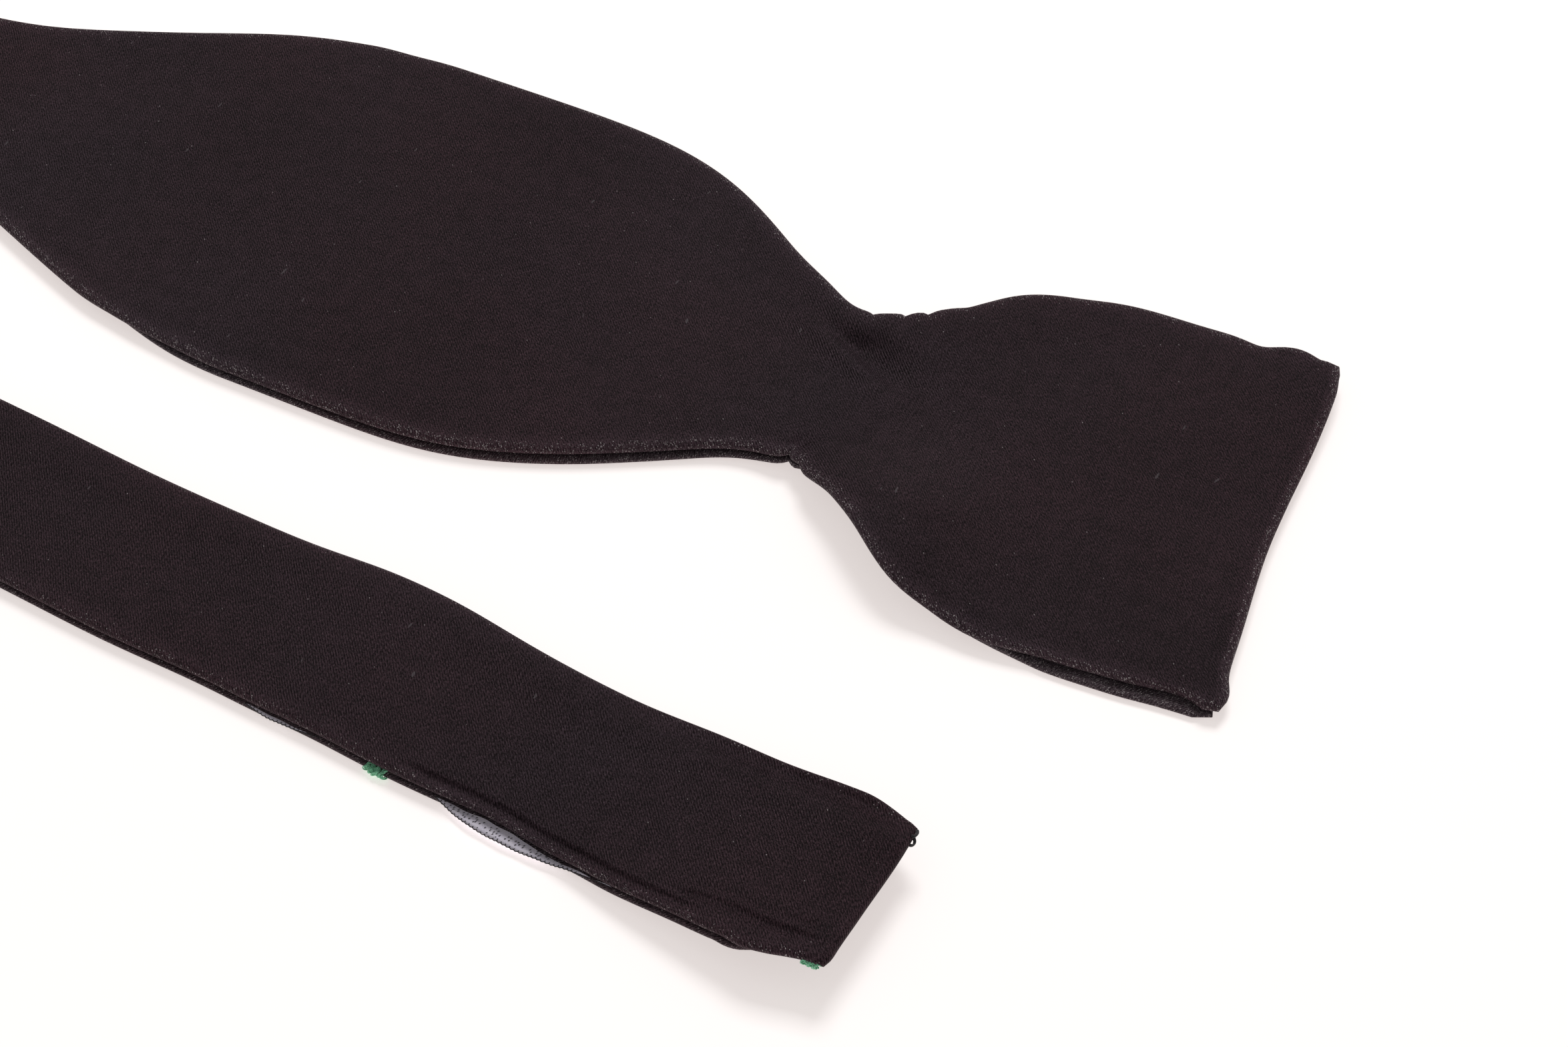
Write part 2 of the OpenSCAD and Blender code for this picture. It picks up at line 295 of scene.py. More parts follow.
# each panel's rolled edge as (distance in from the edge, height over the underside)
FRONT_ROLL = [
    (1.6, 2.58), (1.1, 2.6), (0.66, 2.54), (0.32, 2.42), (0.1, 2.2), (0.0, 1.94),
    (0.04, 1.66), (0.22, 1.44), (0.5, 1.33), (0.95, 1.28), (1.9, 1.27)]
BACK_ROLL = [
    (1.6, 0.0), (1.1, 0.01), (0.62, 0.06), (0.26, 0.18), (0.05, 0.38), (-0.02, 0.6),
    (0.06, 0.82), (0.3, 0.98), (0.65, 1.05), (1.1, 1.07), (1.9, 1.07)]
INSET = 1.6  # where a panel's broad face ends and its rolled edge begins
EDGE_HIGHLIGHT = 0.45  # painted highlight on the floats at that line, which grows by the amount below each row round the roll
ROLL_HIGHLIGHT = 0.2
COLS = 65
_even = np.linspace(-1, 1, COLS)
# the columns' places across a leg, a little closer together near its edges
FRACTION = 0.35 * np.sin(_even * math.pi / 2) + 0.65 * _even


def crown(leg, u, v, w_low, w_up, top):
    """Height over the underside of a panel's broad face."""
    if not top:
        return 0.0 * u
    edge = np.minimum(v - w_low, w_up - v)
    live = ease((u + 4) / 22)
    puff = 2.42 + 0.16 * bump(edge, 4.0, 4.2)
    puff = puff + (2.58 - puff) * (1 - ease((edge - INSET) / 3.0))
    soft = 0.13 * ripple(u, v, leg.seed, 26) + 0.05 * ripple(u, v, leg.seed + 1, 9)
    pucker = 0.07 * ripple(u, v * 0.2, leg.seed + 2, 5.5) * bump(edge, 0, 4.5)
    return puff + live * (soft * ease(edge / 6) + pucker) + leg.relief(u, v)


def mesh_from(name, points, faces, uv, material):
    """A smooth mesh object from row-frame points; its UV map is the cloth's own flat metres."""
    me = bpy.data.meshes.new(name)
    me.from_pydata([tuple(p) for p in points], [], [tuple(int(i) for i in f) for f in faces])
    if uv is not None:
        layer = me.uv_layers.new(name="cloth")
        loops = np.zeros(len(me.loops), np.int32)
        me.loops.foreach_get("vertex_index", loops)
        layer.uv.foreach_set("vector", np.asarray(uv, np.float32)[loops].ravel())
    me.polygons.foreach_set("use_smooth", [True] * len(me.polygons))
    me.materials.append(material)
    me.update()
    ob = bpy.data.objects.new(name, me)
    bpy.context.scene.collection.objects.link(ob)
    return ob


def store_painted_light(ob, values):
    """Marks each point of a panel with painted light for its material: painted highlight from 0 to
    1, growing round the rolled edges, and painted shade below 0.
    """
    layer = ob.data.attributes.new("painted_light", "FLOAT", "POINT")
    layer.data.foreach_set("value", np.asarray(values, np.float32))


def sweep_stations(spans):
    """Places along a leg for its rows, from (from, to, step) spans."""
    out = []
    for a, b, step in spans:
        n = max(1, int(round((b - a) / step)))
        out += list(np.linspace(a, b, n, endpoint=False))
    return np.array(out + [spans[-1][1]])


def round_corner(a, b, r):
    """Moves points so that a square corner is round; a and b are distances from its sides."""
    inside = (a < r) & (b < r)
    x, y = 1 - np.clip(a, 0, r) / r, 1 - np.clip(b, 0, r) / r
    xa, yb = x * np.sqrt(1 - y * y / 2), y * np.sqrt(1 - x * x / 2)
    return np.where(inside, r * (1 - xa), a), np.where(inside, r * (1 - yb), b)


def leg_grid(leg, stations, inset, start=None, corner=0.5, short=None):
    """(rows, COLS) arrays of u and v over a leg, its last row at the leg's end."""
    u0 = stations[:, None] + 0 * FRACTION[None, :]
    low, up = leg.edges(u0)
    v = (low + up) / 2 + FRACTION[None, :] * ((up - low) / 2 - inset)
    turn = stations[-1] - END_ZONE
    share = np.clip((u0 - turn) / END_ZONE, 0, 1)
    last = leg.end(v) - inset - (short(v) if short else 0.0)
    u = np.where(u0 > turn, turn + share * (last - turn), u0)
    if start is not None:
        part = np.clip((ROOT_U + ROOT_ZONE - u0) / (ROOT_U + ROOT_ZONE - stations[0]), 0, 1)
        u = u + part * (start(v) - stations[0])
    # round the two free corners
    to_end = last - u
    for sign in (1, -1):
        to_side = (up - inset - v) if sign > 0 else (v - low - inset)
        a, b = round_corner(np.maximum(to_end, 0), np.maximum(to_side, 0), corner)
        near = (to_end < corner) & (to_side < corner)
        u = np.where(near, last - a, u)
        v = np.where(near, (up - inset - b) if sign > 0 else (low + inset + b), v)
    return u, v


def grid_faces(rows, cols, flip=False, base=0):
    """Quads over a grid of vertices, row by row from number base."""
    i, j = np.meshgrid(np.arange(rows - 1), np.arange(cols - 1), indexing="ij")
    a = base + i * cols + j
    quads = np.stack([a, a + cols, a + cols + 1, a + 1], -1).reshape(-1, 4)
    return quads[:, ::-1] if flip else quads


def strip_faces(first, second, flip=False):
    """Quads between two equal lists of vertex numbers."""
    q = np.stack([first[:-1], first[1:], second[1:], second[:-1]], -1)
    return q[:, ::-1] if flip else q


def rim_of(rows, cols):
    """The vertex numbers once round a grid, back to the first."""
    index = np.arange(rows * cols).reshape(rows, cols)
    return np.concatenate([index[:, 0], index[-1, 1:], index[-2::-1, -1], index[0, -2::-1]])


def closed_faces(rows, cols, flip):
    """Faces of a closed slab: a grid, the same grid again, and the wall between their rims."""
    n, rim = rows * cols, rim_of(rows, cols)
    return np.concatenate([
        grid_faces(rows, cols, flip=not flip), grid_faces(rows, cols, base=n, flip=flip),
        strip_faces(rim, rim + n, flip=flip)])


def rim_normals(leg, lu, lv, end_u):
    """Outward normals along a panel's free rim, and how far its corners are mitred out."""
    tu, tv = np.gradient(lu), np.gradient(lv)
    sharp = ease((lu - end_u + 7) / 2)
    raw_u, raw_v = tu, tv
    for _ in range(2):
        tu, tv = (np.concatenate([t[:1], (t[:-2] + 2 * t[1:-1] + t[2:]) / 4, t[-1:]])
                  for t in (tu, tv))
    # smooth along the sides, true at the end's corners
    tu, tv = tu + (raw_u - tu) * sharp, tv + (raw_v - tv) * sharp
    length = np.hypot(tu, tv)
    nu, nv = tv / length, -tu / length
    nu[0] = nu[-1] = 0.0
    nv[0], nv[-1] = -1.0, 1.0
    mitre = 1 + (1 / np.maximum(np.abs(nu), np.abs(nv)) - 1) * sharp * leg.square
    return nu, nv, mitre


def leg_panel(leg, name, stations, top, material, extra=None, short=None):
    """The front (top) or back panel of a leg: broad face, rolled sides and rolled end.

    extra gives how much farther out each point of the roll stands; short gives how far the
    panel's end stays back.
    """
    u, v = leg_grid(leg, stations, INSET, short=short)
    rows, cols = u.shape
    low, up = leg.edges(u)
    z = leg.base(u, v) + crown(leg, u, v, low, up, top)
    pts = [to_row(leg.side, u, v, z).reshape(-1, 3)]
    uvs = [np.stack([u, v], -1).reshape(-1, 2)]
    faces = [grid_faces(rows, cols, flip=not top)]
    edge = np.minimum(v - low, up - v) - INSET
    # painted light: painted highlight along the broad face's edge, less the leg's painted shade
    light_paint = [(EDGE_HIGHLIGHT * bump(edge, 0, 0.9) * leg.highlight_share - leg.painted_shade(u, v)).ravel()]
    index = np.arange(rows * cols).reshape(rows, cols)
    loop = np.concatenate([index[:, 0], index[-1, 1:-1], index[::-1, -1]])
    lu, lv = u.ravel()[loop], v.ravel()[loop]
    lh = (z - leg.base(u, v)).ravel()[loop]
    nu, nv, mitre = rim_normals(leg, lu, lv, stations[-1])
    roll = FRONT_ROLL if top else BACK_ROLL
    previous, total = loop, rows * cols
    arc, last = 0.0 * lu, (0.0 * lu, roll[0][1])
    for k, (o, hh) in enumerate(roll[1:], 1):
        fade = 1 - ease(k / 4) if top else 0.0
        out = (INSET - o) * mitre
        if extra is not None:
            out = out + extra(lu, lv, nu, nv, o, hh)
        arc = arc + np.hypot(out - last[0], hh - last[1])
        last = (out, hh)
        pu, pv = lu + nu * out, lv + nv * out
        pz = leg.base(pu, pv) + hh + (lh - roll[0][1]) * fade
        pts.append(to_row(leg.side, pu, pv, pz))
        uvs.append(np.stack([lu + nu * arc, lv + nv * arc], -1))
        now = total + np.arange(len(loop))
        faces.append(strip_faces(previous, now, flip=top))
        # painted highlight round the roll, with fewer painted glints at the end
        at_end = leg.end_glint_cut * ease(nu * 2 - 0.6)
        light_paint.append(min(1.0, EDGE_HIGHLIGHT + ROLL_HIGHLIGHT * k) * leg.highlight_share * (1 - at_end))
        previous, total = now, total + len(loop)
    uv = np.concatenate(uvs) * MM
    ob = mesh_from(name, np.concatenate(pts), np.concatenate(faces), uv, material)
    store_painted_light(ob, np.concatenate(light_paint))
    return ob


def leg_slab(leg, name, stations, layer, material, start):
    """A thin closed inner layer of a leg, such as its canvas."""
    inset, low_h, high_h = layer
    u, v = leg_grid(leg, stations, inset, start=start, corner=1.0)
    z = leg.base(u, v)
    # squeezed where the front panel is creased down
    squeeze = np.clip(1 + np.minimum(leg.relief(u, v), 0) / 2.3, 0.12, 1)
    pts = np.concatenate([
        to_row(leg.side, u, v, z + h * squeeze).reshape(-1, 3) for h in (low_h, high_h)])
    uv = np.stack([u, v], -1).reshape(-1, 2)
    faces = closed_faces(*u.shape, flip=False)
    return mesh_from(name, pts, faces, np.concatenate([uv, uv]) * MM, material)


# ------------------------------------------------------------ the two folds
NOSE_R = 1.45  # middle radius of the fold's turn, for the cloth's flat coordinates


def fold_slope(leg):
    """The fold line's angle to the leg's u."""
    return leg.side * (FOLD_ANGLE - SPLAY)


def fold_panel(leg, name, outer, material):
    """The strip's panel from the middle of the cross strip, round the fold, to the leg's root."""
    side = leg.side
    slope = fold_slope(leg)
    # unit vector from the fold line towards the leg
    away = np.array([abs(math.sin(slope)), -side * abs(math.cos(slope))])
    roll = FRONT_ROLL if outer else BACK_ROLL
    turned = len(roll) - 1  # points in each rolled edge
    h2 = BAND / 2
    inner = FRACTION * (h2 - INSET)
    v = np.concatenate([[-h2 + o for o, _ in roll[:0:-1]], inner, [h2 - o for o, _ in roll[1:]]])
    flat = crown(leg, np.full(COLS, 0.0), inner, -h2, h2, outer)
    h = np.concatenate([[hh for _, hh in roll[:0:-1]], flat, [hh for _, hh in roll[1:]]])
    arc = [0.0]
    for (o0, h0), (o1, h1) in zip(roll, roll[1:]):
        arc.append(arc[-1] + math.hypot(o1 - o0, h1 - h0))
    uv_v = np.concatenate([
        [-(h2 - INSET) - x for x in arc[:0:-1]], inner, [(h2 - INSET) + x for x in arc[1:]]])
    u_fold = v / math.tan(slope)
    rows_p, rows_uv = [], []
    n_leg, n_nose, n_cross = 26, 14, 34  # rows on the leg, round the fold, on the cross strip
    quarter = math.pi * NOSE_R / 2

    def put(u, vv, z, du, dv):
        rows_p.append(to_row(side, u, vv, z))
        rows_uv.append(np.stack([du, dv], -1))

    for t in np.linspace(0, 1, n_leg, endpoint=False):
        u = ROOT_U + (u_fold - ROOT_U) * t
        height = h
        if outer:
            live = crown(leg, u[turned:turned + COLS], inner, -h2, h2, True)
            height = np.concatenate([h[:turned], live, h[turned + COLS:]])
        put(u, v, LIFT + height, u, uv_v)
    for t in np.linspace(0, 1, n_nose):
        phi = math.pi / 2 - math.pi * t
        rho = GAP / 2 + h
        out = -rho * math.cos(phi)
        pu, pv = u_fold + away[0] * out, v + away[1] * out
        d = NOSE_R * phi - quarter
        put(pu, pv, AXIS_Z + rho * math.sin(phi), u_fold + away[0] * d, uv_v + away[1] * d)
    for t in np.linspace(0, 1, n_cross)[1:]:
        u = u_fold + (-FOLD_GAP / 2 - u_fold) * t
        d = (u - u_fold) * away[0]
        ru, rv = u - 2 * d * away[0], v - 2 * d * away[1]
        z = np.maximum(THICK - h, 0.0)
        put(ru, rv, z, u - 2 * quarter * away[0], uv_v - 2 * quarter * away[1])
    rows = len(rows_p)
    faces = grid_faces(rows, len(v), flip=outer)
    uv = np.concatenate(rows_uv) * MM
    ob = mesh_from(name, np.concatenate(rows_p), faces, uv, material)
    # painted highlight on the fold's rolled edges, none on its broad face
    side_light_paint = [min(1.0, EDGE_HIGHLIGHT + ROLL_HIGHLIGHT * k) for k in range(1, len(roll))]
    store_painted_light(ob, np.tile(np.concatenate([side_light_paint[::-1], np.zeros(COLS), side_light_paint]), rows))
    return ob


def cross_slab(name, layer, material):
    """An inner layer of the cross strip, which lies front face down."""
    inset, low_h, high_h = layer
    rise = math.tan(FOLD_ANGLE)
    xs = FRACTION * (BAND / 2 - inset)
    rows = 21
    g = np.array([np.stack([xs, (FOLD_GAP / 2 - 0.5 + xs * rise) * t], -1)
                  for t in np.linspace(-1, 1, rows)])
    uv = g.reshape(-1, 2)
    pts = np.concatenate([
        np.concatenate([uv, np.full((len(uv), 1), THICK - h)], 1) for h in (high_h, low_h)])
    faces = closed_faces(rows, COLS, flip=True)
    return mesh_from(name, pts * MM, faces, np.concatenate([uv, uv]) * MM, material)


# ------------------------------------------------------------------- thread


def tube(points, radius, sides=5):
    """(points, faces) of a thin tube along row-frame points in mm."""
    p = np.asarray(points, float)
    n = len(p)
    t = np.gradient(p, axis=0)
    t /= np.linalg.norm(t, axis=1)[:, None] + 1e-12
    side = np.cross(t, np.array([0.0, 0.0, 1.0]))
    weak = np.linalg.norm(side, axis=1) < 0.2
    side[weak] = np.cross(t[weak], np.array([1.0, 0.0, 0.0]))
    side /= np.linalg.norm(side, axis=1)[:, None]
    for i in range(1, n):
        s = side[i - 1] - t[i] * (side[i - 1] @ t[i])
        side[i] = s / (np.linalg.norm(s) + 1e-12)
    other = np.cross(t, side)
    r = np.broadcast_to(np.asarray(radius, float), (n,))
    ang = np.linspace(0, math.tau, sides, endpoint=False)
    spokes = (side[:, None, :] * np.cos(ang)[None, :, None]
              + other[:, None, :] * np.sin(ang)[None, :, None])
    verts = (p[:, None, :] + r[:, None, None] * spokes).reshape(-1, 3)
    faces = []
    for i in range(n - 1):
        for k in range(sides):
            a, b = i * sides + k, i * sides + (k + 1) % sides
            faces.append((a, b, b + sides, a + sides))
    faces.append(tuple(range(sides))[::-1])
    faces.append(tuple((n - 1) * sides + k for k in range(sides)))
    return verts, faces


def thread_mesh(name, tubes, material):
    """One mesh of several tubes, given in row-frame millimetres."""
    pts, faces, base = [], [], 0
    for verts, fs in tubes:
        pts.append(verts)
        faces += [tuple(i + base for i in f) for f in fs]
        base += len(verts)
    return mesh_from(name, np.concatenate(pts) * MM, faces, None, material)


def on_leg(leg, u, v, z):
    """Row-frame millimetres of a point z above the leg's underside."""
    u, v, z = np.broadcast_arrays(*(np.asarray(x, float) for x in (u, v, z)))
    return to_row(leg.side, u, v, leg.base(u, v) + z) / MM


# ---------------------------------------------------------------- materials


def nodes_of(name):
    """A new material, its nodes, its links and its shader."""
    m = bpy.data.materials.new(name)
    m.use_nodes = True
    m.node_tree.nodes.clear()
    n, l = m.node_tree.nodes, m.node_tree.links
    out = n.new("ShaderNodeOutputMaterial")
    shader = n.new("ShaderNodeBsdfPrincipled")
    l.new(shader.outputs[0], out.inputs[0])
    return m, n, l, shader


def feed(l, x, socket):
    """Links an output to a socket, or sets the socket's plain value."""
    if isinstance(x, (int, float, tuple)):
        socket.default_value = x
    else:
        l.new(x, socket)


def math_node(n, l, op, *values):
    """A sum of that kind over numbers and outputs."""
    node = n.new("ShaderNodeMath")
    node.operation = op
    for x, socket in zip(values, node.inputs):
        feed(l, x, socket)
    return node.outputs[0]


def mix_node(n, l, share, first, second, blend="MIX"):
    """Mixes two colours, each an output or a plain colour."""
    node = n.new("ShaderNodeMixRGB")
    node.blend_type = blend
    for x, socket in zip((share, first, second), node.inputs):
        feed(l, x, socket)
    return node


def ramp_node(n, l, fac, stops):
    """A colour ramp through (place, colour) stops."""
    node = n.new("ShaderNodeValToRGB")
    e = node.color_ramp.elements
    while len(e) > len(stops):
        e.remove(e[-1])
    while len(e) < len(stops):
        e.new(0.5)
    for el, (pos, col) in zip(e, stops):
        el.position, el.color = pos, (*col, 1)
    l.new(fac, node.inputs[0])
    return node.outputs[0]


def noise_node(n, l, vec, scale, detail=2.0, rough=0.5, output="Fac"):
    """Smooth noise of that many swells a metre."""
    node = n.new("ShaderNodeTexNoise")
    node.inputs["Scale"].default_value = scale
    node.inputs["Detail"].default_value = detail
    node.inputs["Roughness"].default_value = rough
    l.new(vec, node.inputs["Vector"])
    return node.outputs[output]


def cells_node(n, l, vec, scale):
    """Random cells: the distance from a cell's middle, and the cell's own random numbers."""
    node = n.new("ShaderNodeTexVoronoi")
    node.inputs["Scale"].default_value = scale
    l.new(vec, node.inputs["Vector"])
    chance = n.new("ShaderNodeSeparateColor")
    l.new(node.outputs["Color"], chance.inputs[0])
    return node.outputs["Distance"], chance.outputs


def mapped(n, l, vec, turn=0.0, stretch=1.0):
    """Coordinates scaled along y, then turned about z."""
    node = n.new("ShaderNodeMapping")
    node.inputs["Rotation"].default_value = (0, 0, turn)
    node.inputs["Scale"].default_value = (1.0, stretch, 1.0)
    l.new(vec, node.inputs["Vector"])
    return node.outputs[0]


def bump_node(n, l, height, strength, distance, shader):
    """Roughens the shader's surface by a height, where 1 stands for distance metres."""
    node = n.new("ShaderNodeBump")
    node.inputs["Strength"].default_value = strength
    node.inputs["Distance"].default_value = distance
    l.new(height, node.inputs["Height"])
    l.new(node.outputs[0], shader.inputs["Normal"])


def cloth_uv(n, l):
    """The cloth's flat coordinates in metres, and their two parts."""
    uv = n.new("ShaderNodeUVMap")
    uv.uv_map = "cloth"
    sep = n.new("ShaderNodeSeparateXYZ")
    l.new(uv.outputs[0], sep.inputs[0])
    return uv.outputs[0], sep.outputs[0], sep.outputs[1]


RIB_TURN, CROSS_TURN = math.radians(43), math.radians(43 + 26)
RIB_PITCH, CROSS_PITCH = 0.33, 0.485  # mm, of the ribs and of the wave that breaks them up
WAVER = 7.0  # how far noise shifts the ribs, in radians of their wave
COOL = (0.8, 1.1, 1.12)  # the light colour's share in the cooler patches
# colour of the painted glints, and how far each reaches from its cell's middle
GLINT, GLINT_REACH = (0.50, 0.45, 0.45, 1), 0.42
LINT, LINT_REACH, LINT_RARE = (0.17, 0.15, 0.16, 1), 0.10, 0.958


def satin(name, dark, light, sparkle, sheen):
    """Bias-cut satin: fine floats in diagonal ribs, lint, and painted light from the panels' stored
    values: painted glints and a paler colour on the rolled edges, and painted shade where the value
    is below 0.
    """
    m, n, l, s = nodes_of(name)
    uv, x, y = cloth_uv(n, l)
    wob = noise_node(n, l, uv, 260.0)

    def wave(angle, pitch, shift):
        k = math.tau / (pitch * MM)
        ph = math_node(n, l, "MULTIPLY_ADD", x, k * math.cos(angle), shift)
        ph = math_node(n, l, "MULTIPLY_ADD", y, k * math.sin(angle), ph)
        ph = math_node(n, l, "MULTIPLY_ADD", wob, WAVER, ph)
        return math_node(n, l, "SINE", ph)

    rib = wave(RIB_TURN, RIB_PITCH, 0.0)
    cross = wave(CROSS_TURN, CROSS_PITCH, 0.8)
    both = math_node(n, l, "MULTIPLY", rib, cross)
    floats = math_node(n, l, "MULTIPLY_ADD", both, 0.5, rib)
    fine = noise_node(n, l, uv, 5200.0, 2.0, 0.7)
    broad = noise_node(n, l, uv, 28.0, 3.0, 0.55)
    mid = noise_node(n, l, uv, 420.0, 3.0, 0.6)
    # single floats: short streaks along the rib
    turned = mapped(n, l, uv, turn=-math.radians(43 + 90))
    streak = noise_node(n, l, mapped(n, l, turned, stretch=2.6), 2300.0, 3.0, 0.65)
    # painted light stored on each panel: painted highlight on its rolled edges, painted shade below
    # 0
    painted_light = n.new("ShaderNodeAttribute")
    painted_light.attribute_name = "painted_light"
    light_paint = painted_light.outputs["Fac"]
    # colour: dark ground, paler rib tops, broken into single threads
    tone = math_node(n, l, "MULTIPLY_ADD", floats, 0.14, 0.28)
    for part, contrast in ((streak, 2.6), (fine, 1.6), (mid, 0.5), (broad, 0.3)):
        centred = math_node(n, l, "SUBTRACT", part, 0.5)
        tone = math_node(n, l, "MULTIPLY_ADD", centred, contrast, tone)
    # painted light and shade: the colour is paler on the rolled edges and darker where painted
    # shade is stored
    tone = math_node(n, l, "MULTIPLY_ADD", light_paint, 0.24, tone)
    cool_light = tuple(a * b for a, b in zip(light, COOL))
    warm = ramp_node(n, l, tone, [(0.0, dark), (1.0, light)])
    cool = ramp_node(n, l, tone, [(0.0, dark), (1.0, cool_light)])
    patch = math_node(n, l, "MULTIPLY_ADD", noise_node(n, l, uv, 17.0), 2.4, -0.95)
    hue = mix_node(n, l, patch, warm, cool)
    hue.use_clamp = True
    # painted glints: painted highlights on single threads where the satin turns over an edge
    distance, chance = cells_node(n, l, mapped(n, l, turned, stretch=1.9), 3700.0)
    edge = n.new("ShaderNodeMapRange")
    edge.interpolation_type = "SMOOTHSTEP"
    edge.inputs["From Min"].default_value = 0.38
    edge.inputs["From Max"].default_value = 1.0
    l.new(light_paint, edge.inputs["Value"])
    level = math_node(n, l, "MULTIPLY_ADD", edge.outputs[0], -0.55, 0.9988)
    glint = math_node(n, l, "GREATER_THAN", chance[0], level)
    near = math_node(n, l, "LESS_THAN", distance, GLINT_REACH)
    glint = math_node(n, l, "MULTIPLY", glint, near)
    bright = math_node(n, l, "POWER", chance[1], 1.6)
    lit = mix_node(n, l, math_node(n, l, "MULTIPLY", glint, bright), hue.outputs[0], GLINT)
    # lint: short bent pale fibres, sparse
    warp = noise_node(n, l, uv, 330.0, output="Color")
    bent = mix_node(n, l, 0.0016, uv, warp, blend="ADD").outputs[0]
    found = []
    for turn, scale in ((0.5, 875.0), (2.1, 700.0)):
        distance, chance = cells_node(n, l, mapped(n, l, bent, turn=turn, stretch=0.22), scale)
        hit = math_node(n, l, "LESS_THAN", distance, LINT_REACH)
        rare = math_node(n, l, "GREATER_THAN", chance[0], LINT_RARE)
        found.append(math_node(n, l, "MULTIPLY", hit, rare))
    lint = math_node(n, l, "MULTIPLY", math_node(n, l, "MAXIMUM", *found), 0.5)
    l.new(mix_node(n, l, lint, lit.outputs[0], LINT).outputs[0], s.inputs["Base Color"])
    l.new(math_node(n, l, "MULTIPLY_ADD", mid, 0.2, 0.46), s.inputs["Roughness"])
    height = math_node(n, l, "MULTIPLY_ADD", fine, sparkle, floats)
    bump_node(n, l, height, 0.55, 0.00006, s)
    s.inputs["Specular IOR Level"].default_value = 0.14
    s.inputs["Specular Tint"].default_value = (1.0, 0.85, 0.9, 1)
    s.inputs["Sheen Weight"].default_value = sheen
    s.inputs["Sheen Roughness"].default_value = 0.45
    s.inputs["Sheen Tint"].default_value = (0.9, 0.82, 0.86, 1)
    return m


def cloth_plain(name, colour, deep, pitch, bump_size):
    """A matt woven or fused cloth with fine threads in two directions, pitch mm apart."""
    m, n, l, s = nodes_of(name)
    uv, x, y = cloth_uv(n, l)
    k = math.tau / (pitch * MM)
    a, b = (math_node(n, l, "SINE", math_node(n, l, "MULTIPLY", way, k)) for way in (x, y))
    grid = math_node(n, l, "MULTIPLY", a, b)
    fuzz = noise_node(n, l, uv, 900.0, 3.0, 0.65)
    tone = math_node(n, l, "MULTIPLY_ADD", grid, 0.2, fuzz)
    l.new(ramp_node(n, l, tone, [(0.2, deep), (0.75, colour)]), s.inputs["Base Color"])
    s.inputs["Roughness"].default_value = 0.85
    s.inputs["Sheen Weight"].default_value = 0.15
    bump_node(n, l, tone, 0.6, bump_size, s)
    return m


def thread(name, deep, light, scale, sheen=0.3):
    """Spun thread: short streaks of lighter and darker fibre."""
    m, n, l, s = nodes_of(name)
    co = n.new("ShaderNodeTexCoord").outputs["Object"]
    f = noise_node(n, l, co, scale, 3.0, 0.7)
    g = noise_node(n, l, co, scale * 0.12)
    tone = math_node(n, l, "MULTIPLY_ADD", g, 0.4, math_node(n, l, "MULTIPLY", f, 0.8))
    l.new(ramp_node(n, l, tone, [(0.35, deep), (0.8, light)]), s.inputs["Base Color"])
    s.inputs["Roughness"].default_value = 0.6
    s.inputs["Sheen Weight"].default_value = sheen
    bump_node(n, l, f, 0.7, 0.00004, s)
    return m


SATIN = satin("black_satin", (0.004, 0.0015, 0.002), (0.106, 0.058, 0.072), 0.5, 0.012)
SATIN_BACK = satin("black_satin_back", (0.005, 0.002, 0.003), (0.15, 0.098, 0.112), 1.2, 0.03)
CANVAS = cloth_plain("canvas", (0.60, 0.56, 0.48), (0.42, 0.38, 0.31), 0.7, 0.00008)
FUSED = cloth_plain("pale_backing", (0.97, 0.91, 1.0), (0.84, 0.79, 0.94), 0.45, 0.00004)
LOCK = thread("overlock_thread", (0.004, 0.003, 0.004), (0.032, 0.028, 0.032), 5200.0)
GREEN = thread("green_thread", (0.05, 0.30, 0.14), (0.36, 0.92, 0.58), 2600.0, 0.4)

# ---------------------------------------------------------------- the pieces
blade, tail = Blade(), Tail()
# rows are closest where the cloth creases and ends
BLADE_ROWS = sweep_stations([
    (ROOT_U, 150, 1.6), (150, 312, 1.15), (312, 350, 0.5), (350, 389, 1.0), (389, BLADE_L, 0.5)])
TAIL_ROWS = sweep_stations([
    (ROOT_U, 220, 1.6), (220, 300, 0.9), (300, 366, 0.6), (366, TAIL_L, 0.4)])


def blade_piece(ob, slot, *nodes):
    """Bakes a blade piece's placing into its mesh and hides the CAD nodes that it stands for."""
    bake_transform(ob)
    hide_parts(*nodes)
    return ob


def tail_piece(ob, slot, *nodes):
    """Bakes a tail piece's placing into its mesh and hides the CAD nodes that it stands for."""
    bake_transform(ob)
    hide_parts(*nodes)
    return ob


def near_side(nv):
    """1 on the near edge's roll, 0 on the end's and the far edge's."""
    return ease(-nv * 2)


def on_bead(h):
    """True on the back roll's turned part, between its two flat parts."""
    return (h > 0.01) * (h < 1.06)


def back_out(u, v, nu, nv, o, h):
    """The back panel stands a little proud of the front along the near edge and the end."""
    hidden = tucked(u)
    proud = 0.25 * (1 - hidden) + 0.45 * bump(u, 300, 26) + 1.0 * bump(u, 387, 15)
    out = near_side(nv) * proud + ease(nu * 2 - 0.6) * 0.1
    fade = ease((u - 60) / 80) * (1 - 0.9 * bump(u, 332, 4))
    return out * fade * on_bead(h) - 0.9 * (INSET - o) * hidden * near_side(nv)


